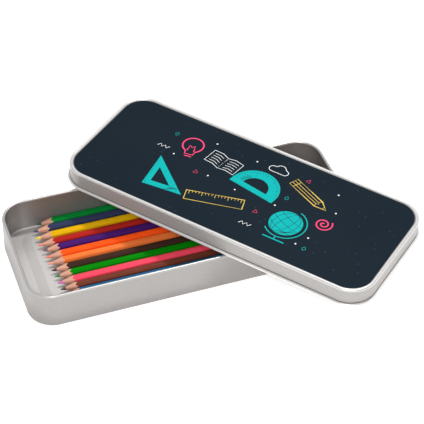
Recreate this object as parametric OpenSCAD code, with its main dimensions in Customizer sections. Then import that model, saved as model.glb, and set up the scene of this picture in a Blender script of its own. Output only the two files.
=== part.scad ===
// Colored pencil tin: an open tinplate tray holding a row of hexagonal pencils,
// with its lid laid askew across the tray's rim.
// The tray stands on z = 0 with its middle at the origin and its long side along X.
// The pencils lie along X with their points towards -X.

/* [Tray] */
// Length of the tray, outside
tray_length = 205; // [195:1:230]
// Width of the tray, outside
tray_width = 84; // [80:1:100]
// Height of the tray, to the top of its rolled rim
tray_height = 24.5; // [20:0.5:35]
// Corner radius of the tray in plan, outside
tray_corner = 15.7; // [14:0.1:20]
// Thickness of the tinplate of tray and lid
sheet = 0.4; // [0.3:0.05:0.5]
// Outer radius of the rim that is rolled inwards
rim_roll = 0.95; // [0.8:0.05:1.2]
// Outer radius of the bend from the wall to the base
base_bend = 1.5; // [1:0.1:2.5]
// How far the stiffening panel is pressed up out of the base
panel_rise = 1; // [0.5:0.1:1.5]
// Distance from the tray's end to the stiffening panel
panel_end_margin = 14; // [8:0.5:20]
// Distance from the tray's side to the stiffening panel
panel_side_margin = 3; // [2.5:0.5:3.5]
// Corner radius of the stiffening panel
panel_corner = 12; // [6:0.5:15]

/* [Lid] */
// Height of the lid, from the hem to the top of its raised rim
lid_height = 12.1; // [9:0.1:16]
// Clearance between the tray's wall and the inside of the lid's skirt
lid_clearance = 0.35; // [0.2:0.05:0.8]
// Outer radius of the rounded rim that frames the picture plate
lid_rim = 1.25; // [1:0.05:1.6]
// Outer radius of the hem that is curled outwards
hem_roll = 0.95; // [0.8:0.05:1.2]
// Thickness of the picture plate
plate_thickness = 0.5; // [0.3:0.1:0.8]
// Clearance between the picture plate and the rim round it
plate_clearance = 0.15; // [0.05:0.05:0.3]
// How far the lid's middle lies along X from the tray's middle
lid_shift_x = 37.8; // [0:0.1:60]
// How far the lid's middle lies along Y from the tray's middle
lid_shift_y = -1.7; // [-10:0.1:10]
// Turn of the lid on the tray, seen from above
lid_turn = -50.7; // [-60:0.1:-40]
// Gap between the tray's rim and the lid's hem that lies on it
lid_seat = 0.15; // [0.1:0.05:0.5]

/* [Pencils] */
// Length of a pencil, point to end
pencil_length = 166; // [150:1:180]
// Width of a pencil across its flats
pencil_flats = 5; // [4.6:0.1:5.4]
// How far each corner of the hexagon is worn back by the lacquer
pencil_softening = 0.1; // [0.05:0.01:0.2]
// Diameter of the coloured lead
lead_diameter = 2; // [1.8:0.1:2.6]
// Diameter of the blunt point
point_diameter = 0.5; // [0.3:0.1:0.8]
// Half angle of the sharpened cone
sharpening_angle = 14; // [11:0.5:18]
// Clearance for the glue round the lead
glue_clearance = 0.02; // [0.01:0.01:0.04]
// Gap between neighbours in the row, and to the tray's back wall
pencil_gap = 0.12; // [0.05:0.01:0.2]
// Gap between the tray's floor and the pencils that lie on it
pencil_seat = 0.1; // [0.05:0.05:0.3]
// Share of the tray's free length that lies ahead of the foremost point in the row
point_share = 0.54; // [0.3:0.01:0.7]
// Edge broken at the pencil's end
end_chamfer = 0.3; // [0.1:0.1:0.5]

/* [Hidden] */
$fn = 96;
far = 400;

// One row a pencil, from the back of the tray to the front:
// name, colour, roll about its own axis in degrees (0 stands it on a corner),
// how far its point lies behind the foremost one, and a gap beyond the usual one behind it.
NAME = 0;
COLOUR = 1;
ROLL = 2;
SETBACK = 3;
SPACE = 4;
pencils = [
    ["dark_green", "#006b22", -6, 3.8, 0],
    ["navy", "#22355a", -16, 0.2, 0],
    ["yellow", "#f0bc14", -7, 0.1, 0.8],
    ["red", "#bf2a28", -9, 0, 0.6],
    ["purple", "#4f2079", -8, 1.5, 0],
    ["orange", "#ff5f1c", -7, 1.6, 0.6],
    ["light_orange", "#f08a42", -18, 1.6, 0],
    ["black", "#40302c", -8, 2.2, 0.6],
    ["green", "#0a900a", -8, 2.8, 0],
    ["pink", "#f5556d", -9, 2.9, 0.2],
    ["brown", "#7f4232", -7, 3.2, 0.1],
    ["blue", "#2d6b8c", -8, 3.4, 0]
];
PARTS = ["casing", "lead"];

// Tray
inner_corner = tray_corner - sheet;
corner_x = tray_length / 2 - tray_corner;
corner_y = tray_width / 2 - tray_corner;
floor_top = panel_rise + sheet;

// Lid, sized to pass over the tray
lid_grow = lid_clearance + sheet;
lid_length = tray_length + 2 * lid_grow;
lid_width = tray_width + 2 * lid_grow;
lid_corner = tray_corner + lid_grow;
deck_top = lid_height - lid_rim;
plate_inset = 2 * lid_rim + plate_clearance;
lid_z = tray_height + lid_seat;

// Pencil section: a hexagon whose corners are arcs of corner_reach
hexagon_radius = pencil_flats / 2 / cos(30);
corner_reach = hexagon_radius - pencil_softening;
corner_arc = 30 - acos(pencil_flats / 2 / corner_reach);
lead_radius = lead_diameter / 2;
point_radius = point_diameter / 2;
taper = tan(sharpening_angle);

// Length inside the tray that the row of pencils leaves free
free_length = tray_length - 2 * sheet - pencil_length - max([for (p = pencils) p[SETBACK]]);
point_x = sheet + point_share * free_length - tray_length / 2;

// Distance from a pencil's axis to its surface, at an angle from the nearest corner
function reach(angle) = corner_reach * cos(max(0, angle - corner_arc));
function below(i) = reach(abs(pencils[i][ROLL]));
function beside(i) = reach(30 - abs(pencils[i][ROLL]));
function end_x(i) = point_x + pencils[i][SETBACK] + pencil_length;
// Inside of the tray's back wall, at a distance along X, round its right corner too
function back_wall(x) =
    let (past = max(0, x - corner_x))
    corner_y + sqrt(inner_corner * inner_corner - past * past);
function axis_y(i) =
    i == 0
    ? back_wall(end_x(0)) - pencil_gap - beside(0)
    : axis_y(i - 1) - beside(i - 1) - pencil_gap - pencils[i][SPACE] - beside(i);

// Flat shape with round corners, centred on the origin
module rounded_rectangle(length, width, corner) {
    square([length - 2 * corner, width], center = true);
    square([length, width - 2 * corner], center = true);
    for (x = [-1, 1])
        for (y = [-1, 1])
            translate([x * (length / 2 - corner), y * (width / 2 - corner)])
                circle(r = corner);
}

// Sweeps a wall's section round a rounded rectangle.
// The section's x is 0 on the outside and negative inwards, and its y is the height.
module swept_wall(length, width, corner) {
    for (k = [0 : 3]) {
        out = (k % 2 == 0 ? length : width) / 2;
        straight = (k % 2 == 0 ? width : length) - 2 * corner;
        rotate([0, 0, 90 * k]) {
            translate([out, straight / 2, 0])
                rotate([90, 0, 0])
                    linear_extrude(straight)
                        children();
            translate([out - corner, straight / 2, 0])
                rotate_extrude(angle = 90)
                    translate([corner, 0])
                        children();
        }
    }
}

// Section of a rolled edge: a ring of sheet with one quarter open
module rolled_edge(radius, open_x, open_y) {
    difference() {
        circle(r = radius);
        circle(r = radius - sheet);
        translate([open_x > 0 ? 0 : -far, open_y > 0 ? 0 : -far])
            square(far);
    }
}

// Upright strip of sheet whose outside is at x = 0
module upright(bottom, top) {
    translate([-sheet, bottom])
        square([sheet, top - bottom]);
}

module tray_section() {
    upright(base_bend, tray_height - rim_roll);
    translate([-rim_roll, tray_height - rim_roll])
        rolled_edge(rim_roll, 1, -1);
    intersection() {
        translate([-base_bend, base_bend])
            difference() {
                circle(r = base_bend);
                circle(r = base_bend - sheet);
            }
        translate([-base_bend, 0])
            square(base_bend);
    }
}

module tray() {
    panel_length = tray_length - 2 * panel_end_margin;
    panel_width = tray_width - 2 * panel_side_margin;
    color("#b4b2af") {
        difference() {
            union() {
                swept_wall(tray_length, tray_width, tray_corner)
                    tray_section();
                linear_extrude(sheet)
                    rounded_rectangle(
                        tray_length - 2 * base_bend,
                        tray_width - 2 * base_bend,
                        tray_corner - base_bend
                    );
                linear_extrude(floor_top)
                    rounded_rectangle(panel_length, panel_width, panel_corner);
            }
            translate([0, 0, -1])
                linear_extrude(panel_rise + 1)
                    rounded_rectangle(
                        panel_length - 2 * sheet,
                        panel_width - 2 * sheet,
                        panel_corner - sheet
                    );
        }
    }
}

module lid_section() {
    translate([hem_roll - sheet, hem_roll])
        rolled_edge(hem_roll, -1, 1);
    upright(hem_roll, deck_top);
    intersection() {
        translate([-lid_rim, deck_top])
            difference() {
                circle(r = lid_rim);
                circle(r = lid_rim - sheet);
            }
        translate([-2 * lid_rim, deck_top])
            square([2 * lid_rim, lid_rim]);
    }
    translate([-2 * lid_rim - sheet, deck_top - sheet])
        square([2 * sheet, sheet]);
}

module lid_place() {
    translate([lid_shift_x, lid_shift_y, lid_z])
        rotate([0, 0, lid_turn])
            children();
}

module lid_shell() {
    deck_inset = 2 * lid_rim;
    color("#c4c3c1")
        lid_place() {
            swept_wall(lid_length, lid_width, lid_corner)
                lid_section();
            translate([0, 0, deck_top - sheet])
                linear_extrude(sheet)
                    rounded_rectangle(
                        lid_length - 2 * deck_inset,
                        lid_width - 2 * deck_inset,
                        lid_corner - deck_inset
                    );
        }
}

module lid_plate() {
    color("#253038")
        lid_place()
            translate([0, 0, deck_top])
                linear_extrude(plate_thickness)
                    rounded_rectangle(
                        lid_length - 2 * plate_inset,
                        lid_width - 2 * plate_inset,
                        lid_corner - plate_inset
                    );
}

// Places a pencil, drawn upright with its point at the origin, in the row
module pencil_place(i) {
    translate([
        point_x + pencils[i][SETBACK],
        axis_y(i),
        floor_top + pencil_seat + below(i)
    ])
        rotate([0, 90, 0])
            rotate([0, 0, pencils[i][ROLL]])
                children();
}

// Turned shape that a sharpener and the lacquer leave of the pencil, with a given radius
module turned(radius, chamfer) {
    length = (radius - point_radius) / taper;
    rotate_extrude()
        polygon([
            [0, 0],
            [point_radius, 0],
            [radius, length],
            [radius, pencil_length - chamfer],
            [radius - chamfer, pencil_length],
            [0, pencil_length]
        ]);
}

module casing(i) {
    color(pencils[i][COLOUR])
        pencil_place(i)
            difference() {
                intersection() {
                    cylinder(r = hexagon_radius, h = pencil_length, $fn = 6);
                    turned(corner_reach, end_chamfer);
                }
                translate([0, 0, -1])
                    cylinder(r = lead_radius + glue_clearance, h = pencil_length + 2);
            }
}

module lead(i) {
    color(pencils[i][COLOUR])
        pencil_place(i)
            rotate_extrude()
                polygon([
                    [0, 0],
                    [point_radius, 0],
                    [lead_radius, (lead_radius - point_radius) / taper],
                    [lead_radius, pencil_length],
                    [0, pencil_length]
                ]);
}

tray();
lid_shell();
lid_plate();
for (i = [0 : len(pencils) - 1]) {
    casing(i);
    lead(i);
}
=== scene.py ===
# %% [markdown]
# # A colored pencil tin
#
# A slip-lid tin lies open. Its tray holds a row of twelve hexagonal pencils, and its lid is laid
# askew across the tray's rim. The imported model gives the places, and the sizes below repeat its
# own, so this lesson only dresses it: rolled tinplate edges, lacquer on cedar, blunt leads and a
# printed picture plate.
#
# Everything is in metres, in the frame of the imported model. The tray stands on z = 0 with its
# middle at the origin, and the pencils point to -X.

import math
import random

import bmesh
import bpy
from mathutils import Matrix, Vector


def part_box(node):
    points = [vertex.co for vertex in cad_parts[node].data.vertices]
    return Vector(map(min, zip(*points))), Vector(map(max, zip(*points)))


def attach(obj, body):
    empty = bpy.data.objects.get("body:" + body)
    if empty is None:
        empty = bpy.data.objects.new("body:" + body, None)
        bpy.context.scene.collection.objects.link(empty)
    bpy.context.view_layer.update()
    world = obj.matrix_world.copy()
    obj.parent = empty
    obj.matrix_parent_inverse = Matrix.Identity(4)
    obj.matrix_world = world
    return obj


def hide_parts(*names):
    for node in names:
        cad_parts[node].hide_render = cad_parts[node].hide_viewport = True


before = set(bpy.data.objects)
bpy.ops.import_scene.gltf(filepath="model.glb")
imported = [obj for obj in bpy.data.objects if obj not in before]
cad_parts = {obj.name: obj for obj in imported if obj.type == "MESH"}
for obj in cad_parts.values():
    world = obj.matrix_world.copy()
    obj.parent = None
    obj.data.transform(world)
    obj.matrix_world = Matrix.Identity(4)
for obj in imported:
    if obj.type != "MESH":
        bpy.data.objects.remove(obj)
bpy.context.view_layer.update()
MM = 0.001

# %% [markdown]
# ## Camera and studio
#
# The photograph is taken from the front left and above, with a long lens, so the tin hardly
# shrinks with distance. The camera's back direction comes from its azimuth and elevation, and its
# two other axes are turned a little for the tilt of the picture. The floor is near white and glows
# a little, so that it stays white under the lid. A soft lamp in front lights the walls and the
# edge of the lid. The key lamp is small and stands high behind on the right: it gives the pencils'
# points their short shadows, and the pencils their shade beside the lid. A wide lamp at the back
# only fills in.

# %% Camera
AZIMUTH = math.radians(-20.76)
ELEVATION = math.radians(43.44)
TILT = math.radians(1.71)
DISTANCE = 944.96 * MM
TARGET = Vector((27.61, 20.11, 0)) * MM
# Both in millimetres, as Blender counts them
SENSOR = 36
LENS = 128.82

back = Vector((
    math.sin(AZIMUTH) * math.cos(ELEVATION),
    -math.cos(AZIMUTH) * math.cos(ELEVATION),
    math.sin(ELEVATION),
))
level = Vector((0, 0, 1)).cross(back).normalized()
upright = back.cross(level)
right = level * math.cos(TILT) + upright * math.sin(TILT)
up = upright * math.cos(TILT) - level * math.sin(TILT)
turn = Matrix((right, up, back)).transposed().to_4x4()

camera_data = bpy.data.cameras.new("camera")
camera_data.sensor_width = SENSOR
camera_data.lens = LENS
camera = bpy.data.objects.new("camera", camera_data)
camera.matrix_world = Matrix.Translation(TARGET + back * DISTANCE) @ turn
bpy.context.scene.collection.objects.link(camera)
bpy.context.scene.camera = camera
print("camera at", tuple(round(c, 3) for c in camera.matrix_world.translation))

# %% Helpers for materials
# The Mix node's colour sockets share their names with others, so they go by number.
MIX_DARK, MIX_LIGHT, MIX_RESULT = 6, 7, 2


def new_material(name):
    """A new material, with its node tree and its shader."""
    material = bpy.data.materials.new(name)
    material.use_nodes = True
    return material, material.node_tree, material.node_tree.nodes["Principled BSDF"]


def plug(tree, node, values):
    """Set inputs of a node. A value is a number, a colour or another node's socket."""
    for key, value in values.items():
        if isinstance(value, bpy.types.NodeSocket):
            tree.links.new(value, node.inputs[key])
        else:
            node.inputs[key].default_value = value


def add(tree, kind, inputs, **settings):
    """Add a node, with its settings and its inputs."""
    node = tree.nodes.new(kind)
    for key, value in settings.items():
        setattr(node, key, value)
    plug(tree, node, inputs)
    return node


def coordinates(tree):
    """The Object coordinates, on which every texture lies."""
    return add(tree, "ShaderNodeTexCoord", {}).outputs["Object"]


def stretched(tree, place, share, offset=0.0):
    """The same coordinates, drawn out along X, so that a noise on them makes streaks."""
    inputs = {"Vector": place, "Location": (offset, offset, 0), "Scale": (share, 1.0, 1.0)}
    return add(tree, "ShaderNodeMapping", inputs).outputs["Vector"]


def noise(tree, place, scale, detail):
    """A grey noise, from 0 to 1."""
    inputs = {"Vector": place, "Scale": scale, "Detail": detail}
    return add(tree, "ShaderNodeTexNoise", inputs).outputs["Fac"]


def mixed(tree, factor, dark, light):
    """A colour between two."""
    inputs = {"Factor": factor, MIX_DARK: dark, MIX_LIGHT: light}
    return add(tree, "ShaderNodeMix", inputs, data_type="RGBA").outputs[MIX_RESULT]


def reckoned(tree, operation, first, second):
    """Two grey values put through an operation of the Math node."""
    return add(tree, "ShaderNodeMath", {0: first, 1: second}, operation=operation).outputs["Value"]


def relief(tree, height, strength, depth):
    """A bump, for the shader's normal."""
    inputs = {"Height": height, "Strength": strength, "Distance": depth}
    return add(tree, "ShaderNodeBump", inputs).outputs["Normal"]


def linear(level):
    """A level as a screen shows it, 0 to 255, on the shader's linear scale."""
    share = level / 255
    return share / 12.92 if level <= 10 else ((share + 0.055) / 1.055) ** 2.4


def rgb(red, green, blue):
    """A colour from three levels of a screen."""
    return (linear(red), linear(green), linear(blue), 1.0)


def tinted(shade, factor=1.0, lift=0):
    """A colour from a shade of a screen, made darker or lighter."""
    return rgb(*[min(255, factor * level + lift) for level in shade])


# %% Floor and lights
WHITE = (1, 1, 1, 1)
WORLD_LIGHT = 0.47
PAPER_SHADE = 0.93
PAPER_GLOW = 0.34
FLOOR_REACH = 8
FLOOR_DROP = 0.05 * MM

bpy.context.scene.view_settings.view_transform = "Standard"

world = bpy.data.worlds.new("studio")
world.use_nodes = True
sky = world.node_tree.nodes["Background"]
plug(world.node_tree, sky, {"Color": WHITE, "Strength": WORLD_LIGHT})
bpy.context.scene.world = world

paper, tree, shader = new_material("white_paper")
plug(tree, shader, {
    "Base Color": (PAPER_SHADE, PAPER_SHADE, PAPER_SHADE, 1),
    "Roughness": 0.9,
    "Specular IOR Level": 0.1,
    "Emission Color": WHITE,
    "Emission Strength": PAPER_GLOW,
})
bm = bmesh.new()
bmesh.ops.create_grid(bm, x_segments=1, y_segments=1, size=FLOOR_REACH)
bmesh.ops.translate(bm, verts=bm.verts, vec=(0, 0, -FLOOR_DROP))
floor_mesh = bpy.data.meshes.new("floor")
bm.to_mesh(floor_mesh)
bm.free()
floor = bpy.data.objects.new("floor", floor_mesh)
floor_mesh.materials.append(paper)
bpy.context.scene.collection.objects.link(floor)


def soft_lamp(name, place, size, power):
    """A square lamp that faces the tin."""
    data = bpy.data.lights.new(name, "AREA")
    data.size = size
    data.energy = power
    lamp = bpy.data.objects.new(name, data)
    lamp.location = place
    lamp.rotation_euler = Vector(place).to_track_quat("Z", "Y").to_euler()
    bpy.context.scene.collection.objects.link(lamp)


soft_lamp("front_lamp", (-0.35, -1.0, 1.0), size=0.4, power=13)
soft_lamp("top_lamp", (0.0, 0.7, 1.3), size=1.0, power=3)
soft_lamp("key_lamp", (0.41, 0.24, 1.41), size=0.12, power=16)
print("stage is ready")

# %% [markdown]
# ## Tinplate
#
# Tray and lid are drawn from tinned steel with a satin finish. Two noises on Object coordinates
# make it: a very fine one is the grain of the sheet, as a slight bump and a slight change of
# shade, and a slow one makes the roughness drift, because drawn sheet is never evenly bright.
#
# It is one metal, but three lamps can't give all the reflections it should show, so it has nine
# finishes, and six of them are copies with light and shade painted into their colour. The rolled
# edges carry a painted highlight, lighter and smoother than the walls, and the hem the brightest.
# The base of the tray, which faces up, is lighter as painted light, and the inside of the wall is
# darker than it as painted shade. A darker strip above the hem is a painted dark reflection. The
# underside of the lid is lighter and more metal, so that it throws more light on the pencils.

# %% Satin tinplate
GRAIN_CONTRAST = 12
ROUGHNESS_DRIFT = 0.05


def tinplate(name, shade, roughness, metallic):
    """Tinplate of a shade as a screen shows it, with a mean roughness and a share of metal."""
    material, tree, shader = new_material(name)
    place = coordinates(tree)
    grain = noise(tree, place, scale=1600.0, detail=2.0)
    drift = noise(tree, place, scale=28.0, detail=3.0)
    spread = add(tree, "ShaderNodeMapRange", {
        "Value": drift,
        "To Min": roughness - ROUGHNESS_DRIFT,
        "To Max": roughness + ROUGHNESS_DRIFT,
    })
    dark = tinted(shade, lift=-GRAIN_CONTRAST)
    light = tinted(shade, lift=GRAIN_CONTRAST)
    plug(tree, shader, {
        "Base Color": mixed(tree, grain, dark, light),
        "Metallic": metallic,
        "Roughness": spread.outputs["Result"],
        "Normal": relief(tree, grain, strength=0.25, depth=0.02 * MM),
    })
    return material


tray_metal = tinplate("satin_tinplate_tray", (146, 143, 141), 0.44, 0.6)
# A painted highlight: the tray's rolled rim is a lighter, smoother copy of its tinplate.
tray_rim_highlight = tinplate("tinplate_tray_rim_painted_highlight", (168, 166, 164), 0.36, 0.6)
# Painted shade: the inside of the wall is darker than the base.
inside_shade_metal = tinplate("tinplate_inside_painted_shade", (148, 146, 145), 0.46, 0.65)
# Painted light: the base, which faces up, is lighter than the walls.
base_light_metal = tinplate("tinplate_base_painted_light", (177, 174, 172), 0.46, 0.6)
lid_metal = tinplate("satin_tinplate_lid", (150, 147, 145), 0.42, 0.12)
# A painted highlight: the lid's rolled rim is a lighter, smoother copy of its tinplate.
lid_rim_highlight = tinplate("tinplate_lid_rim_painted_highlight", (195, 193, 191), 0.34, 0.5)
# The brightest painted highlight, on the bead of the hem.
hem_highlight_metal = tinplate("tinplate_hem_painted_highlight", (216, 214, 212), 0.32, 0.4)
# A painted dark reflection, on the strip of skirt just above the hem.
groove_reflection_metal = tinplate("tinplate_groove_painted_reflection", (104, 100, 98), 0.5, 0.12)
under_metal = tinplate("bright_tinplate_lid", (226, 224, 222), 0.3, 0.9)
print("nine finishes of tinplate are ready")


# %% [markdown]
# ## Sheet-metal shells
#
# A drawn tin is one sheet of even thickness. The easiest way to model it is the way it is made:
# draw the section of the wall as an open line, carry it round a rounded rectangle, close the
# bottom, and give the whole surface its thickness with Solidify. A vertex that is spun draws an
# arc, and a spin with no angle but a shift draws a straight, so one operator does both.

# %% Helpers for sections and sweeps
# Points that lie closer than this are one point.
WELD = 0.001 * MM


def spun(bm, geom, centre=(0, 0, 0), axis=(0, 0, 1), angle=0.0, steps=1, shift=(0, 0, 0)):
    """Extrude by a turn or a shift, and return what lies at the far end."""
    result = bmesh.ops.spin(
        bm, geom=geom, cent=centre, axis=axis, dvec=shift, angle=angle, steps=steps,
        use_merge=False,
    )
    return result["geom_last"]


def draw_section(bm, start, moves):
    """Draw an open line in the XZ plane.

    A move is a shift (x, z), or an arc's centre, its degrees and its steps.
    """
    old = set(bm.verts[:] + bm.edges[:])
    tip = bmesh.ops.create_vert(bm, co=(start[0], 0, start[1]))["vert"]
    for move in moves:
        if len(move) == 2:
            tip = spun(bm, tip, shift=(move[0], 0, move[1]))
        else:
            (x, z), degrees, steps = move
            angle = math.radians(degrees)
            tip = spun(bm, tip, centre=(x, 0, z), axis=(0, 1, 0), angle=angle, steps=steps)
    return [g for g in bm.verts[:] + bm.edges[:] if g not in old]


def sweep_round(bm, section, length, width, corner, steps=24):
    """Carry a section, drawn with x = 0 on the outside, round a rounded rectangle."""
    points = [g for g in section if isinstance(g, bmesh.types.BMVert)]
    bmesh.ops.translate(bm, verts=points, vec=(length / 2, corner - width / 2, 0))
    far_end = section
    for side in range(4):
        straight = (length if side % 2 else width) - 2 * corner
        heading = Matrix.Rotation(side * math.pi / 2, 3, "Z") @ Vector((0, straight, 0))
        far_end = spun(bm, far_end, shift=heading)
        middle_x = (length / 2 - corner) * (1 if side in (0, 3) else -1)
        middle_y = (width / 2 - corner) * (1 if side in (0, 1) else -1)
        far_end = spun(bm, far_end, centre=(middle_x, middle_y, 0), angle=math.pi / 2, steps=steps)
    bmesh.ops.remove_doubles(bm, verts=bm.verts, dist=WELD)


def edges_at(bm, height):
    """The open edges that lie at a height."""
    return [
        e for e in bm.edges
        if e.is_boundary and all(abs(v.co.z - height) < WELD for v in e.verts)
    ]


def round_edges(bm, edges, offset, segments):
    """Round some edges with a bevel."""
    bmesh.ops.bevel(
        bm, geom=edges, offset=offset, segments=segments, profile=0.5, affect="EDGES", material=-1,
    )


# %% Helpers for finished pieces
# An edge that turns by more than SHARP stays crisp, and a face whose normal rises or falls by less
# than UPRIGHT stands upright.
SHARP = math.radians(32)
UPRIGHT = 0.05


def crease(bm):
    """Shade smooth, but keep sharp edges crisp."""
    for face in bm.faces:
        face.smooth = True
    for edge in bm.edges:
        edge.smooth = not (edge.is_manifold and edge.calc_face_angle(0) > SHARP)


def make_object(bm, name, materials):
    """Turn a finished bmesh into an object in the scene."""
    bmesh.ops.recalc_face_normals(bm, faces=bm.faces)
    crease(bm)
    mesh = bpy.data.meshes.new(name)
    bm.to_mesh(mesh)
    bm.free()
    for material in materials:
        mesh.materials.append(material)
    piece = bpy.data.objects.new(name, mesh)
    bpy.context.scene.collection.objects.link(piece)
    return piece


def stand_for(piece, node, body):
    """Dress a node of the frame: the node is hidden, and the piece joins its body."""
    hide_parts(node)
    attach(piece, body)
    print(piece.name, "stands for", node, "with", len(piece.data.polygons), "faces")


def thicken(piece, sheet):
    """Give a shell its thickness, half to each side, and fix it in the mesh."""
    solid = piece.modifiers.new("sheet", "SOLIDIFY")
    solid.thickness = sheet
    solid.offset = 0
    solid.use_even_offset = True
    view = bpy.context.evaluated_depsgraph_get()
    shell = bpy.data.meshes.new_from_object(piece.evaluated_get(view))
    piece.modifiers.clear()
    piece.data = shell
    bm = bmesh.new()
    bm.from_mesh(shell)
    crease(bm)
    bm.to_mesh(shell)
    bm.free()


# %% [markdown]
# ## Tray
#
# The tray's rim is rolled inwards, three quarters of a turn. Below it the wall runs straight down
# to a small bend, and a stiffening panel is pressed up out of the base. The section is drawn at
# mid-sheet. The panel is the base, inset twice: the first ring is the foot of its slope, the
# second is the top. Each ring's ends are pulled in further than its sides, because the panel stops
# short of the ends. The rim then gets a painted highlight, the base, where it faces up, painted
# light, and the inside of the wall painted shade.

# %% Tray sizes
SHEET = 0.4 * MM
HALF = SHEET / 2
TRAY_LENGTH = 205 * MM
TRAY_WIDTH = 84 * MM
TRAY_HEIGHT = 24.5 * MM
TRAY_CORNER = 15.7 * MM
RIM_ROLL = 0.95 * MM
BASE_BEND = 1.5 * MM
PANEL_RISE = 1 * MM
PANEL_END_MARGIN = 14 * MM
PANEL_SIDE_MARGIN = 3 * MM
PRESS_REACH_END = 3 * MM
PRESS_REACH_SIDE = 1.1 * MM
PRESS_BEND = 0.3 * MM
low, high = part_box("tray")
print("tray in the frame:", [round((b - a) / MM, 2) for a, b in zip(low, high)])

# %% Tray wall
bm = bmesh.new()
wall = draw_section(bm, (-RIM_ROLL, TRAY_HEIGHT - 2 * RIM_ROLL + HALF), [
    ((-RIM_ROLL, TRAY_HEIGHT - RIM_ROLL), 270, 18),
    (0, RIM_ROLL + BASE_BEND - TRAY_HEIGHT),
    ((-BASE_BEND, BASE_BEND), 90, 6),
])
sweep_round(bm, wall, TRAY_LENGTH, TRAY_WIDTH, TRAY_CORNER)
print("wall:", len(bm.faces), "faces")

# %% Pressed panel, and the tray as one sheet
base = bmesh.ops.contextual_create(bm, geom=edges_at(bm, HALF))["faces"]


def inset_base(inset, end_shift, rise):
    """Inset the base, pull its ends in further, lift it, and return the edges round it."""
    bmesh.ops.inset_region(bm, faces=base, thickness=inset, use_even_offset=True)
    bmesh.ops.translate(bm, verts=base[0].verts[:], vec=(0, 0, rise))
    for side in (-1, 1):
        end = [v for v in base[0].verts if v.co.x * side > 0]
        bmesh.ops.translate(bm, verts=end, vec=(-side * end_shift, 0, 0))
    return base[0].edges[:]


foot = inset_base(
    PANEL_SIDE_MARGIN - PRESS_REACH_SIDE - BASE_BEND,
    PANEL_END_MARGIN - PRESS_REACH_END - PANEL_SIDE_MARGIN + PRESS_REACH_SIDE, 0,
)
brow = inset_base(2 * PRESS_REACH_SIDE, 2 * (PRESS_REACH_END - PRESS_REACH_SIDE), PANEL_RISE)
round_edges(bm, foot + brow, PRESS_BEND, segments=3)
tray = make_object(bm, "drawn_tray", [tray_metal, inside_shade_metal, tray_rim_highlight, base_light_metal])
thicken(tray, SHEET)

# %% Painted light and shade on the tray
INSIDE_SHADE, RIM_HIGHLIGHT, BASE_LIGHT = 1, 2, 3
LEAN = 0.1
core_length = TRAY_LENGTH / 2 - TRAY_CORNER
core_width = TRAY_WIDTH / 2 - TRAY_CORNER
for face in tray.data.polygons:
    x, y, z = face.center
    core_x = max(-core_length, min(core_length, x))
    core_y = max(-core_width, min(core_width, y))
    inward = face.normal.x * (core_x - x) + face.normal.y * (core_y - y) > 0
    # The rim gets a painted highlight, faces that look up painted light, the inner wall painted
    # shade.
    if z > TRAY_HEIGHT - 2 * RIM_ROLL:
        face.material_index = RIM_HIGHLIGHT
    elif face.normal.z > LEAN:
        face.material_index = BASE_LIGHT
    elif inward and face.normal.z > -LEAN:
        face.material_index = INSIDE_SHADE
stand_for(tray, "tray", "tray")

# %% [markdown]
# ## Lid
#
# The lid passes over the tray, so it is a little larger. Its hem is curled outwards, its skirt
# rises to a rounded rim, and the rim falls again to a deck that carries the picture plate. It is
# drawn in its own frame, and one matrix lays it askew on the tray.
#
# The skirt is drawn in two moves, split a little above the hem, so that the strip below the split
# can carry a painted dark reflection. The curl of the hem goes on past three quarters of a turn,
# until it meets the skirt.

# %% Lid sizes and place
LID_PLAY = 0.35 * MM
LID_GROW = LID_PLAY + SHEET
LID_LENGTH = TRAY_LENGTH + 2 * LID_GROW
LID_WIDTH = TRAY_WIDTH + 2 * LID_GROW
LID_CORNER = TRAY_CORNER + LID_GROW
LID_HEIGHT = 12.1 * MM
LID_RIM = 1.25 * MM
HEM_ROLL = 0.95 * MM
HEM_TOP = 2 * HEM_ROLL
HEM_CLOSE = 26
GROOVE_FOOT = 1.3 * HEM_ROLL
GROOVE_TOP = 2.25 * MM
DECK_TOP = LID_HEIGHT - LID_RIM
# The sheet falls to the deck by half its thickness, in two steps with these shares.
DECK_STEPS = (0.75, 0.25)
LID_TURN = math.radians(-50.7)
low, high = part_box("lid_shell")
lid_middle = ((low[0] + high[0]) / 2, (low[1] + high[1]) / 2, low[2])
lid_place = Matrix.Translation(lid_middle) @ Matrix.Rotation(LID_TURN, 4, "Z")
print("lid lies at", [round(c / MM, 2) for c in lid_middle])

# %% Lid shell
bm = bmesh.new()
hem_radius = HEM_ROLL - HALF
hem_close = math.radians(HEM_CLOSE)
hem_start = (
    HEM_ROLL - SHEET - hem_radius * math.sin(hem_close),
    HEM_ROLL + hem_radius * math.cos(hem_close),
)
skirt = draw_section(bm, hem_start, [
    ((HEM_ROLL - SHEET, HEM_ROLL), 270 + HEM_CLOSE, 20),
    (0, GROOVE_TOP - HEM_ROLL),
    (0, DECK_TOP - GROOVE_TOP),
    ((-LID_RIM, DECK_TOP), -180, 14),
    *[(-HALF, -share * HALF) for share in DECK_STEPS],
])
sweep_round(bm, skirt, LID_LENGTH, LID_WIDTH, LID_CORNER)
bmesh.ops.contextual_create(bm, geom=edges_at(bm, DECK_TOP - HALF))
bmesh.ops.transform(bm, matrix=lid_place, verts=bm.verts)
lid = make_object(bm, "drawn_lid", [lid_metal, lid_rim_highlight, under_metal, hem_highlight_metal, groove_reflection_metal])
thicken(lid, SHEET)

# %% Painted highlights and a painted dark reflection on the lid
EDGE_HIGHLIGHT, UNDER_FINISH, HEM_HIGHLIGHT, GROOVE_REFLECTION = 1, 2, 3, 4
FACES_DOWN = -0.9
LARGE = 100 * MM ** 2
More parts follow.
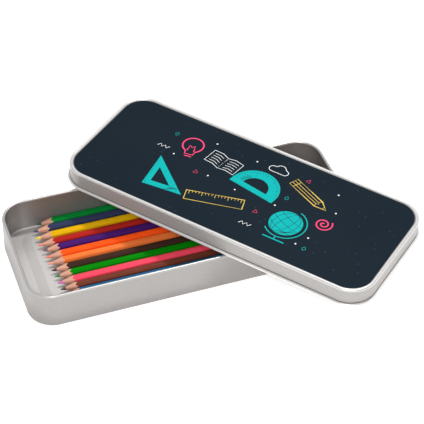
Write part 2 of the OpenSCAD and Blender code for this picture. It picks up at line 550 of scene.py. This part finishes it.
# The rim and the hem's bead get painted highlights, the strip above the hem a painted reflection.
for face in lid.data.polygons:
    rise = face.center.z - lid_middle[2]
    if face.normal.z < FACES_DOWN and face.area > LARGE:
        face.material_index = UNDER_FINISH
    elif rise > DECK_TOP:
        face.material_index = EDGE_HIGHLIGHT
    # The upright strip above the hem's bead: a painted dark reflection.
    elif abs(face.normal.z) < UPRIGHT and GROOVE_FOOT < rise < HEM_TOP:
        face.material_index = GROOVE_REFLECTION
    elif rise < HEM_TOP:
        face.material_index = HEM_HIGHLIGHT
stand_for(lid, "lid_shell", "lid")

# %% [markdown]
# ## Picture plate
#
# The dark plate is a separate printed sheet that lies inside the rim. It is a rounded rectangle
# with its edges broken. Its ink is matt and nearly even: a slow noise clouds it a little, and the
# cells of a Voronoi texture, every other one, give it faint bluish specks, as a printed chalkboard
# has.

# %% Printed ground
SPECK_SHARE = 0.5
SPECK_STRENGTH = 0.55
ground_ink, tree, shader = new_material("dark_slate_ink")
place = coordinates(tree)
clouds = noise(tree, place, scale=22.0, detail=2.0)
slate = mixed(tree, clouds, rgb(19, 29, 37), rgb(25, 34, 42))
cells = add(tree, "ShaderNodeTexVoronoi", {"Vector": place, "Scale": 260.0, "Randomness": 1.0})
near_middle = add(tree, "ShaderNodeMapRange", {
    "Value": cells.outputs["Distance"],
    "From Min": 0.06,
    "From Max": 0.10,
    "To Min": 1.0,
    "To Max": 0.0,
})
chosen = reckoned(tree, "GREATER_THAN", cells.outputs["Color"], SPECK_SHARE)
specks = reckoned(tree, "MULTIPLY", near_middle.outputs["Result"], chosen)
faint = reckoned(tree, "MULTIPLY", specks, SPECK_STRENGTH)
plug(tree, shader, {
    "Base Color": mixed(tree, faint, slate, rgb(64, 96, 112)),
    "Roughness": 0.6,
    "Specular IOR Level": 0.015,
})
print("ground ink is ready")

# %% Plate
PLATE_THICKNESS = 0.5 * MM
PLATE_INSET = 2 * LID_RIM + 0.15 * MM
PLATE_BREAK = 0.12 * MM
bm = bmesh.new()
edge = draw_section(bm, (0, DECK_TOP), [(0, PLATE_THICKNESS)])
sweep_round(
    bm, edge, LID_LENGTH - 2 * PLATE_INSET, LID_WIDTH - 2 * PLATE_INSET, LID_CORNER - PLATE_INSET
)
bmesh.ops.contextual_create(bm, geom=edges_at(bm, DECK_TOP))
bmesh.ops.contextual_create(bm, geom=edges_at(bm, DECK_TOP + PLATE_THICKNESS))
level_edges = [
    e for e in bm.edges if abs(e.verts[0].co.z - e.verts[1].co.z) < 0.1 * PLATE_THICKNESS
]
round_edges(bm, level_edges, PLATE_BREAK, segments=2)
bmesh.ops.transform(bm, matrix=lid_place, verts=bm.verts)
plate = make_object(bm, "picture_plate", [ground_ink])
stand_for(plate, "lid_plate", "lid")

# %% [markdown]
# ## Doodles on the plate
#
# The plate is printed with chalk-like doodles of things on a desk: filled shapes in turquoise, and
# outlines in pale yellow, pink and white. They are drawn in the lid's own millimetres. A filled
# shape is a flat curve with a fill, where an outline inside another one is a hole. A line is a
# curve with a round bevel, pressed flat, so that the ink stands only a few hundredths of a
# millimetre proud. Marks in the ground's slate lie over the turquoise. Each ink is made a mesh
# before it is laid on the lid, and is one piece.

# %% Pen
# Widths of the pen, in millimetres
HAIR, FINE, CHALK, BOLD = 0.3, 0.34, 0.42, 0.9
LINES = {"turquoise": [], "yellow": [], "pink": [], "white": [], "slate": []}
PATCHES = {"turquoise": [], "yellow": [], "pink": [], "white": [], "slate": []}
hand = random.Random(5)


def arc(x, y, radius, start=0, end=360, squash=1.0, steps=40):
    """Points along an arc, from one angle to another. Squash narrows it across."""
    angles = [math.radians(start + (end - start) * k / steps) for k in range(steps + 1)]
    return [(x + squash * radius * math.cos(a), y + radius * math.sin(a)) for a in angles]


def ray(degrees, *radii):
    """Points on a ray from the middle, at some radii."""
    angle = math.radians(degrees)
    return [(r * math.cos(angle), r * math.sin(angle)) for r in radii]


def laid(points, x, y, degrees=0):
    """The same points turned, and moved to a place on the plate."""
    cos, sin = math.cos(math.radians(degrees)), math.sin(math.radians(degrees))
    return [(x + cos * u - sin * v, y + sin * u + cos * v) for u, v in points]


def line(ink, points, width, closed=False, shake=0.0):
    """A drawn line, in millimetres. Shake moves each point a little, as a hand does."""
    shaken = [(u + hand.uniform(-shake, shake), v + hand.uniform(-shake, shake)) for u, v in points]
    LINES[ink].append((shaken, width, closed))


def dot(ink, x, y, radius=0.55):
    """A small filled round."""
    PATCHES[ink].append(arc(x, y, radius, steps=14)[:-1])


# %% Set square, protractor and globe in turquoise
square_place = (-43, -14, 7)
PATCHES["turquoise"].append(laid([(-12, -12), (14, -12), (-12, 15)], *square_place))
PATCHES["turquoise"].append(laid([(-8, -8), (4.4, -8), (-8, 4.9)], *square_place))
for k in range(11):
    mark = -10 + 2 * k
    reach = 2.0 if k % 5 == 0 else 1.2
    line("slate", laid([(mark, -12), (mark, -12 + reach)], *square_place), 0.28)
    line("slate", laid([(-12, mark), (-12 + reach, mark)], *square_place), 0.28)

fan_place = (6, 4, -9)
PATCHES["turquoise"].append(laid(arc(0, 0, 16, 0, 180) + [(-16, -3.4), (16, -3.4)], *fan_place))
PATCHES["turquoise"].append(laid(arc(0, 0.6, 8.6, 0, 180), *fan_place))
for k in range(1, 24):
    inner = 12.6 if k % 4 == 0 else 13.8
    line("slate", laid(ray(7.5 * k, inner, 15.2), *fan_place), HAIR)
for k in range(13):
    line("slate", laid([(-12 + 2 * k, -3.4), (-12 + 2 * k, -2.2)], *fan_place), 0.26)

globe_place = (37, -12, -22)
PATCHES["turquoise"].append(laid(arc(0, 0, 10.2), *globe_place)[:-1])
for squash in (0.32, 0.72):
    line("slate", laid(arc(0, 0, 10.0, squash=squash), *globe_place), FINE)
for height in (-5, 0, 5):
    half = math.sqrt(10.0 ** 2 - height ** 2)
    bow = [(u * half, height - 1.2 * (1 - u * u)) for u in (-1, -0.6, -0.2, 0.2, 0.6, 1)]
    line("slate", laid(bow, *globe_place), FINE)

# Hatching on all three, one stroke each in turn
for k in range(9):
    stroke = [(4.8 - 0.2 * k, -8.6 - 0.42 * k), (11.4 - 1.1 * k, -8.3 - 0.42 * k)]
    line("slate", laid(stroke, *square_place), HAIR)
    line("slate", laid(ray(138 + 4.2 * k, 9.2, 11.4 + 0.5 * (k % 3)), *fan_place), FINE)
    stroke = [(2.5 + 0.62 * k, -7.6 + 0.5 * k), (5.6 + 0.4 * k, -6.9 + 0.72 * k)]
    line("slate", laid(stroke, *globe_place), HAIR)

# The globe's ring, foot and stem
line("turquoise", laid(arc(0, 0, 12.6, -115, 95), *globe_place), 0.7)
line("turquoise", [(30, -27.4), (44, -27.4)], BOLD)
line("turquoise", [(37.2, -27.2), (37.0, -24.4)], 0.8)
print("turquoise:", len(PATCHES["turquoise"]), "outlines")

# %% Ruler and pencil in yellow
ruler_place = (-9, -17, 17)
pencil_place = (38, 16, -24)
for shake in (0.12, 0.3):
    ruler = [(-18, -4), (18, -4), (18, 4), (-18, 4)]
    line("yellow", laid(ruler, *ruler_place), CHALK, closed=True, shake=shake)
    body = [(-16, -3.2), (8, -3.2), (15, 0), (8, 3.2), (-16, 3.2)]
    line("yellow", laid(body, *pencil_place), CHALK, closed=True, shake=shake)
for k in range(17):
    mark = -16 + 2 * k
    reach = 3.0 if k % 4 == 0 else 1.7
    line("yellow", laid([(mark, 4), (mark, 4 - reach)], *ruler_place), HAIR, shake=0.06)
for stroke in (
    [(8, -3.2), (7, -1), (8.4, 0), (7, 1), (8, 3.2)],
    [(-16, -1), (7, -1)],
    [(-16, 1), (7, 1)],
    [(-12.6, -3.2), (-12.6, 3.2)],
    [(12.8, -1), (12.4, 0), (12.8, 1)],
):
    line("yellow", laid(stroke, *pencil_place), 0.36, shake=0.1)
print("yellow:", len(LINES["yellow"]), "lines")

# %% Bulb and spiral in pink
bulb_place = (-45, 18, 12)
line("pink", laid(arc(0, 0, 6.6, -62, 242), *bulb_place), 0.95)
for stroke in (
    [(3.1, -5.8), (2.6, -8.8), (-2.6, -8.8), (-3.1, -5.8)],
    [(-2.3, -10.6), (2.3, -10.6)],
    [(-2.2, -5.6), (-1.6, -0.6), (0, -2.4), (1.6, -0.6), (2.2, -5.6)],
):
    line("pink", laid(stroke, *bulb_place), 0.75)
turns = [(0.42 * t * math.cos(t), 0.42 * t * math.sin(t)) for t in (0.35 * k for k in range(3, 39))]
line("pink", laid(turns, 56, -1), BOLD)
for x, y in ((31, 27), (-31, -2), (17, -13)):
    line("pink", laid([(0, 1.5), (1.5, -1), (-1.5, -1)], x, y, 15 * x), 0.4, closed=True)
print("pink:", len(LINES["pink"]), "lines")

# %% Book, cloud, waves and dots in white
book_place = (-21, 14, -8)
for side in (-1, 1):
    page = [(0, -6), (5 * side, -4.6), (11 * side, -5), (11 * side, 6), (5 * side, 6.6), (0, 5)]
    line("white", laid(page, *book_place), CHALK, closed=True)
    for k in range(4):
        row = [(2.2 * side, 3.2 - 2.2 * k), (5.4 * side, 4.2 - 2.2 * k), (9 * side, 3.8 - 2.2 * k)]
        line("white", laid(row, *book_place), HAIR, shake=0.1)
cloud = arc(-4, 0, 2.4, 100, 270, steps=10) + arc(4.4, -0.2, 2.2, -90, 80, steps=10)
cloud += arc(0.6, 1.6, 3.2, 25, 160, steps=12)
line("white", laid(cloud, 11, 26), CHALK, closed=True)
for x, y in ((-64, 8), (13, -25)):
    line("white", [(x + 1.5 * k, y + (1.1 if k % 2 else -1.1)) for k in range(6)], CHALK)
for x, y in (
    (-51, 5), (-33, 27), (-4, 26), (-3, -3), (24, -2),
    (52, 26), (58, 11), (54, -16), (50, -24), (-23, -1),
):
    dot("white", x, y)
for x, y in ((-59, 22), (27, 7), (56, -25)):
    diamond = [(0, 1.7), (1.2, 0), (0, -1.7), (-1.2, 0)]
    line("turquoise", laid(diamond, x, y), 0.35, closed=True)
print("lines:", {ink: len(lines) for ink, lines in LINES.items()})

# %% Inks
INK_SHADES = {
    "turquoise": (8, 168, 166),
    "yellow": (222, 190, 92),
    "pink": (236, 70, 118),
    "white": (236, 238, 238),
    "slate": (25, 34, 43),
}


def screen_ink(name, shade):
    """Printed ink, a little uneven, as chalk on a board."""
    material, tree, shader = new_material(name + "_ink")
    chalk = noise(tree, coordinates(tree), scale=1400.0, detail=3.0)
    plug(tree, shader, {
        "Base Color": mixed(tree, chalk, tinted(shade, 0.82), tinted(shade)),
        "Roughness": 0.6,
        "Specular IOR Level": 0.05,
    })
    return material


# %% Lay the inks on the plate
PLATE_TOP = DECK_TOP + PLATE_THICKNESS
# How far the lines stand proud, the slate ones over the turquoise, and half a patch's thickness
LINE_HEIGHT = 0.03 * MM
SLATE_HEIGHT = 0.045 * MM
PATCH_HALF = 0.02 * MM
INK_WELD = 0.0002 * MM


def curve_mesh(name, outlines, flat):
    """A mesh of curves. Outlines are lists of (points, width, closed); flat ones are filled."""
    curve = bpy.data.curves.new(name, "CURVE")
    curve.dimensions = "2D" if flat else "3D"
    if flat:
        curve.fill_mode = "BOTH"
        curve.extrude = PATCH_HALF
    else:
        curve.bevel_depth = 1.0
        curve.bevel_resolution = 1
        curve.use_fill_caps = True
    for points, width, closed in outlines:
        spline = curve.splines.new("POLY")
        spline.points.add(len(points) - 1)
        for point, (u, v) in zip(spline.points, points):
            point.co = (u * MM, v * MM, 0, 1)
            point.radius = 1 if flat else width * MM / 2
        spline.use_cyclic_u = closed
    holder = bpy.data.objects.new(name, curve)
    bpy.context.scene.collection.objects.link(holder)
    view = bpy.context.evaluated_depsgraph_get()
    mesh = bpy.data.meshes.new_from_object(holder.evaluated_get(view))
    bpy.data.objects.remove(holder)
    return mesh


for ink, shade in INK_SHADES.items():
    bm = bmesh.new()
    if LINES[ink]:
        bm.from_mesh(curve_mesh(ink + "_lines", LINES[ink], flat=False))
        tallest = max(v.co.z for v in bm.verts)
        height = SLATE_HEIGHT if ink == "slate" else LINE_HEIGHT
        bmesh.ops.scale(bm, verts=bm.verts, vec=(1, 1, height / tallest))
    if PATCHES[ink]:
        outlines = [(points, 1, True) for points in PATCHES[ink]]
        bm.from_mesh(curve_mesh(ink + "_patches", outlines, flat=True))
    bmesh.ops.remove_doubles(bm, verts=bm.verts, dist=INK_WELD)
    bmesh.ops.translate(bm, verts=bm.verts, vec=(0, 0, PLATE_TOP))
    bmesh.ops.transform(bm, matrix=lid_place, verts=bm.verts)
    doodle = make_object(bm, "doodles_" + ink, [screen_ink(ink, shade)])
    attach(doodle, "lid")
    print(doodle.name, len(doodle.data.polygons), "faces")

# %% [markdown]
# ## Pencils
#
# A pencil is a hexagonal casing, bored for its lead, and a sharpener turns its front to a cone.
# That is also how it is modelled: the bored, sharpened blank is spun, six planes cut its flats,
# and the long corners are rounded by the lacquer. Where the flats meet the cone, the paint ends in
# tongues, without any further work. Faces that the sharpener or the saw has cut show cedar, the
# rest is lacquered.

# %% Pencil sizes and colours
PENCIL_LENGTH = 166 * MM
FLATS = 5 * MM
BLANK_RADIUS = 2.95 * MM
CORNER_ROUND = 0.36 * MM
BORE_RADIUS = 1.02 * MM
END_CHAMFER = 0.4 * MM
LEAD_RADIUS = 1 * MM
POINT_RADIUS = 0.25 * MM
# The blunt point is flat over this share of its radius, and then rises by POINT_RISE.
POINT_FLAT = 0.6
POINT_RISE = 0.12 * MM
POINT_PLAY = 0.02 * MM
END_PLAY = 0.01 * MM
TAPER = math.tan(math.radians(14))
TURN_STEPS = 72
PENCILS = {
    # name: roll in degrees, lacquer, lead
    "dark_green": (-6, (0, 115, 41), (58, 88, 60)),
    "navy": (-16, (43, 51, 79), (64, 64, 92)),
    "yellow": (-7, (202, 157, 4), (240, 206, 20)),
    "red": (-9, (158, 30, 24), (226, 118, 106)),
    "purple": (-8, (62, 21, 95), (110, 82, 112)),
    "orange": (-7, (238, 78, 19), (232, 114, 90)),
    "light_orange": (-18, (216, 108, 49), (236, 144, 118)),
    "black": (-8, (53, 34, 26), (50, 46, 48)),
    "green": (-8, (0, 115, 0), (38, 120, 62)),
    "pink": (-9, (224, 66, 88), (206, 84, 170)),
    "brown": (-7, (103, 51, 37), (70, 52, 50)),
    "blue": (-8, (26, 90, 130), (40, 104, 140)),
}

# %% Lacquer, cedar and lead
def lacquer(name, shade):
    """Lacquer, a little streaky along the pencil."""
    material, tree, shader = new_material("lacquer_" + name)
    streaks = noise(tree, stretched(tree, coordinates(tree), 0.12), scale=900.0, detail=2.0)
    plug(tree, shader, {
        "Base Color": mixed(tree, streaks, tinted(shade, 0.9), tinted(shade, 1.04, 3)),
        "Roughness": 0.4,
        "Specular IOR Level": 0.03,
        "Normal": relief(tree, streaks, strength=0.12, depth=0.02 * MM),
    })
    return material


def cedar(name, offset):
    """Bare wood. The offset gives each pencil its own piece of the grain."""
    material, tree, shader = new_material("cedar_" + name)
    along = stretched(tree, coordinates(tree), 0.1, offset)
    rings = noise(tree, along, scale=2400.0, detail=3.0)
    plug(tree, shader, {
        "Base Color": mixed(tree, rings, rgb(168, 114, 91), rgb(202, 158, 139)),
        "Roughness": 0.7,
        "Specular IOR Level": 0.2,
        "Normal": relief(tree, rings, strength=0.3, depth=0.05 * MM),
    })
    return material


def pigment(name, shade):
    """The waxy, gritty lead."""
    material, tree, shader = new_material("lead_" + name)
    grit = noise(tree, coordinates(tree), scale=3200.0, detail=3.0)
    plug(tree, shader, {
        "Base Color": mixed(tree, grit, tinted(shade, 0.75), tinted(shade, 1.1, 8)),
        "Roughness": 0.55,
        "Specular IOR Level": 0.3,
        "Normal": relief(tree, grit, strength=0.4, depth=0.05 * MM),
    })
    return material


# %% Casing and lead
# How far within the flats a face is the bore's, and how far beyond them an edge is a corner
BORE_MARGIN = 0.3 * MM
CORNER_MARGIN = 0.1 * MM
CUT_NEAR = 1e-7


def full_turn(bm, profile):
    """Spin a profile once round Z."""
    bmesh.ops.spin(
        bm, geom=profile, cent=(0, 0, 0), axis=(0, 0, 1), dvec=(0, 0, 0),
        angle=2 * math.pi, steps=TURN_STEPS, use_merge=True,
    )
    bmesh.ops.remove_doubles(bm, verts=bm.verts, dist=WELD)


def casing():
    """An upright casing, its point at the origin."""
    bm = bmesh.new()
    front = (BORE_RADIUS - POINT_RADIUS) / TAPER
    shoulder = (BLANK_RADIUS - POINT_RADIUS) / TAPER
    profile = draw_section(bm, (BORE_RADIUS, front), [
        (BLANK_RADIUS - BORE_RADIUS, shoulder - front),
        (0, PENCIL_LENGTH - END_CHAMFER - shoulder),
        (-END_CHAMFER, END_CHAMFER),
        (END_CHAMFER + BORE_RADIUS - BLANK_RADIUS, 0),
        (0, front - PENCIL_LENGTH),
    ])
    full_turn(bm, profile)
    for flat in range(6):
        facing = Matrix.Rotation(math.radians(30 + 60 * flat), 3, "Z") @ Vector((1, 0, 0))
        cut = bmesh.ops.bisect_plane(
            bm, geom=bm.verts[:] + bm.edges[:] + bm.faces[:], dist=CUT_NEAR,
            plane_co=facing * FLATS / 2, plane_no=facing, clear_outer=True,
        )
        rim = [g for g in cut["geom_cut"] if isinstance(g, bmesh.types.BMEdge)]
        bmesh.ops.contextual_create(bm, geom=rim)
    bmesh.ops.remove_doubles(bm, verts=bm.verts, dist=WELD)
    corners = [
        e for e in bm.edges
        if abs(e.verts[0].co.z - e.verts[1].co.z) > PENCIL_LENGTH / 2
        and e.verts[0].co.xy.length > FLATS / 2 + CORNER_MARGIN
    ]
    round_edges(bm, corners, CORNER_ROUND, segments=4)
    return bm


def lead():
    """An upright lead, its blunt point at the origin."""
    bm = bmesh.new()
    shoulder = (LEAD_RADIUS - POINT_RADIUS) / TAPER
    profile = draw_section(bm, (0, POINT_PLAY), [
        (POINT_FLAT * POINT_RADIUS, 0),
        ((1 - POINT_FLAT) * POINT_RADIUS, POINT_RISE),
        (LEAD_RADIUS - POINT_RADIUS, shoulder),
        (0, PENCIL_LENGTH - shoulder - POINT_PLAY - POINT_RISE - END_PLAY),
        (-LEAD_RADIUS, 0),
    ])
    full_turn(bm, profile)
    return bm


def cut_by_tool(face):
    """Whether a face of the upright casing is bare wood: the cone, the end or the bore."""
    in_bore = face.calc_center_median().xy.length < FLATS / 2 - BORE_MARGIN
    return abs(face.normal.z) > UPRIGHT or in_bore


# %% Row of pencils
LACQUERED, BARE = 0, 1
GRAIN_SHIFT = 0.037
for number, (name, (roll, lacquer_shade, lead_shade)) in enumerate(PENCILS.items()):
    low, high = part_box(name + "_lead")
    axis_point = (low[0], (low[1] + high[1]) / 2, (low[2] + high[2]) / 2)
    lie = (
        Matrix.Translation(axis_point)
        @ Matrix.Rotation(math.pi / 2, 4, "Y")
        @ Matrix.Rotation(math.radians(roll), 4, "Z")
    )
    body = "pencil_" + name

    bm = casing()
    bmesh.ops.recalc_face_normals(bm, faces=bm.faces)
    for face in bm.faces:
        face.material_index = BARE if cut_by_tool(face) else LACQUERED
    bmesh.ops.transform(bm, matrix=lie, verts=bm.verts)
    finishes = [lacquer(name, lacquer_shade), cedar(name, GRAIN_SHIFT * number)]
    wood = make_object(bm, name + "_wood", finishes)
    stand_for(wood, name + "_casing", body)

    bm = lead()
    bmesh.ops.transform(bm, matrix=lie, verts=bm.verts)
    core = make_object(bm, name + "_core", [pigment(name, lead_shade)])
    stand_for(core, name + "_lead", body)
